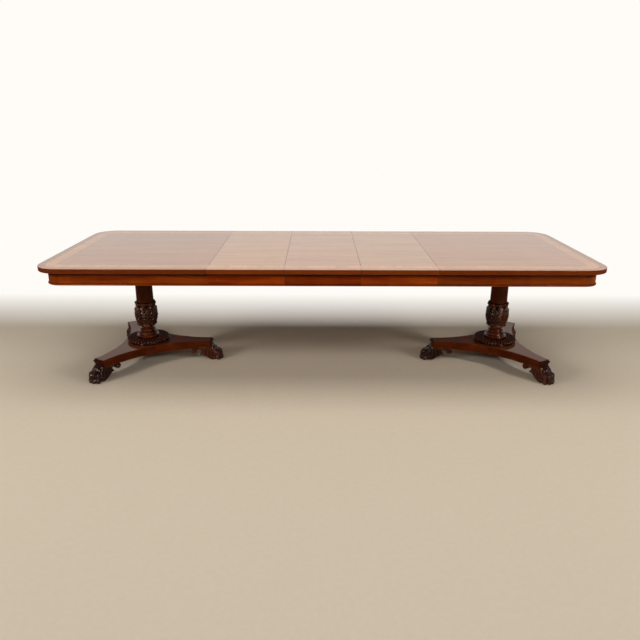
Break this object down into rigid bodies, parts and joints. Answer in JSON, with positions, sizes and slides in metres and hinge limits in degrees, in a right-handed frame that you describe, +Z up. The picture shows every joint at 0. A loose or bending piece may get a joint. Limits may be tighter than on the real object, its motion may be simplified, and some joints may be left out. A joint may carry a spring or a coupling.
{
  "type": "double pedestal dining table",
  "caption": "Long dining table with a banded round-cornered top, lift-out leaves, extension slides and carved pedestals on paw feet.",
  "frame": {"origin": "on the floor under the middle of the table, with all three leaves in place", "axes": "+X along the table's length, +Y towards the back edge, +Z up"},
  "size_m": [3.175, 1.14, 0.749],
  "materials": {
    "mahogany_top": "polished",
    "mahogany_apron": "polished",
    "mahogany_pedestal": "polished",
    "satinwood": "polished",
    "beech": "bare planed wood",
    "steel": "zinc plated"
  },
  "bodies": {
    "left_half": {"left_apron_bead": "mahogany_apron", "left_apron_corners": "mahogany_apron", "left_arm_scrolls": "mahogany_pedestal", "left_back_apron": "mahogany_apron", "left_back_foot": "mahogany_pedestal", "left_back_slide_rail": "beech", "left_carved_vase": "mahogany_pedestal", "left_column": "mahogany_pedestal", "left_end_apron": "mahogany_apron", "left_front_apron": "mahogany_apron", "left_front_foot": "mahogany_pedestal", "left_front_slide_rail": "beech", "left_gadrooned_base": "mahogany_pedestal", "left_glue_blocks": "beech", "left_head_plate": "beech", "left_inner_foot": "mahogany_pedestal", "left_platform": "mahogany_pedestal", "left_satinwood_band": "satinwood", "left_tie_rod": "steel", "left_top": "mahogany_top", "left_turned_collar": "mahogany_pedestal"},
    "right_half": {"right_apron_bead": "mahogany_apron", "right_apron_corners": "mahogany_apron", "right_arm_scrolls": "mahogany_pedestal", "right_back_apron": "mahogany_apron", "right_back_foot": "mahogany_pedestal", "right_back_slide_rail": "beech", "right_carved_vase": "mahogany_pedestal", "right_column": "mahogany_pedestal", "right_end_apron": "mahogany_apron", "right_front_apron": "mahogany_apron", "right_front_foot": "mahogany_pedestal", "right_front_slide_rail": "beech", "right_gadrooned_base": "mahogany_pedestal", "right_glue_blocks": "beech", "right_head_plate": "beech", "right_inner_foot": "mahogany_pedestal", "right_platform": "mahogany_pedestal", "right_satinwood_band": "satinwood", "right_tie_rod": "steel", "right_top": "mahogany_top", "right_turned_collar": "mahogany_pedestal"},
    "centre_slides": {"centre_back_slide_rail": "beech", "centre_cross_tie": "beech", "centre_front_slide_rail": "beech"},
    "leaf_1": {"leaf_1_back_apron": "mahogany_apron", "leaf_1_beads": "mahogany_apron", "leaf_1_front_apron": "mahogany_apron", "leaf_1_panel": "mahogany_top", "leaf_1_satinwood_bands": "satinwood"},
    "leaf_2": {"leaf_2_back_apron": "mahogany_apron", "leaf_2_beads": "mahogany_apron", "leaf_2_front_apron": "mahogany_apron", "leaf_2_panel": "mahogany_top", "leaf_2_satinwood_bands": "satinwood"},
    "leaf_3": {"leaf_3_back_apron": "mahogany_apron", "leaf_3_beads": "mahogany_apron", "leaf_3_front_apron": "mahogany_apron", "leaf_3_panel": "mahogany_top", "leaf_3_satinwood_bands": "satinwood"}
  },
  "joints": [
    {"name": "extension", "type": "slide", "parent": "left_half", "child": "right_half", "axis": [1, 0, 0], "range_m": [0, 0.1]},
    {"name": "centre_glide", "type": "slide", "parent": "left_half", "child": "centre_slides", "axis": [1, 0, 0], "range_m": [0, 0.05]},
    {"name": "leaf_1_lift", "type": "slide", "parent": "left_half", "child": "leaf_1", "axis": [0, 0, 1], "range_m": [0, 0.3]},
    {"name": "leaf_2_lift", "type": "slide", "parent": "centre_slides", "child": "leaf_2", "axis": [0, 0, 1], "range_m": [0, 0.3]},
    {"name": "leaf_3_lift", "type": "slide", "parent": "right_half", "child": "leaf_3", "axis": [0, 0, 1], "range_m": [0, 0.3]}
  ],
  "couplings": [
    {"joint": "centre_glide", "follows": "extension", "ratio": 0.5}
  ]
}
